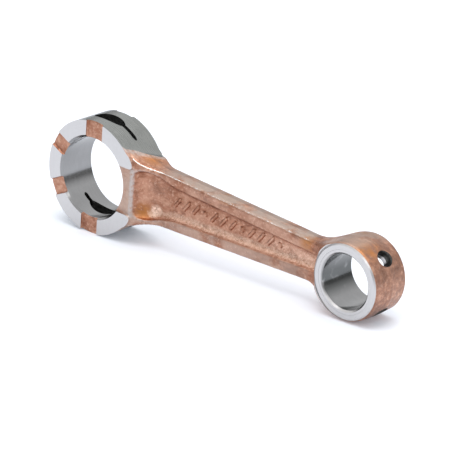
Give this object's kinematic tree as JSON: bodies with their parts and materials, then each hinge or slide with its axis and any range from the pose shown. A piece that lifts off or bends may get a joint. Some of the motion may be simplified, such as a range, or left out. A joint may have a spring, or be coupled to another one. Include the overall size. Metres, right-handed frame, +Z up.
{
  "type": "connecting rod",
  "caption": "Copper-plated forged steel connecting rod with an I-section shank, a slotted big end and a bushed, oil-drilled small end.",
  "frame": {"origin": "middle of the bounding box, on the surface that both eyes stand on", "axes": "+X from the big end to the small end, +Y along both bores, +Z up; the rod stands on its edge, so its centre line slopes down to the small end by 3.3 degrees"},
  "size_m": [0.1552, 0.0164, 0.0428],
  "materials": {
    "copper_plated_steel": "copper-plated forging, satin, with ground steel bores, rim and thrust pads",
    "ground_steel": "finely ground"
  },
  "bodies": {
    "root": {"rod_forging": "copper_plated_steel", "small_end_bush": "ground_steel"}
  },
  "joints": []
}
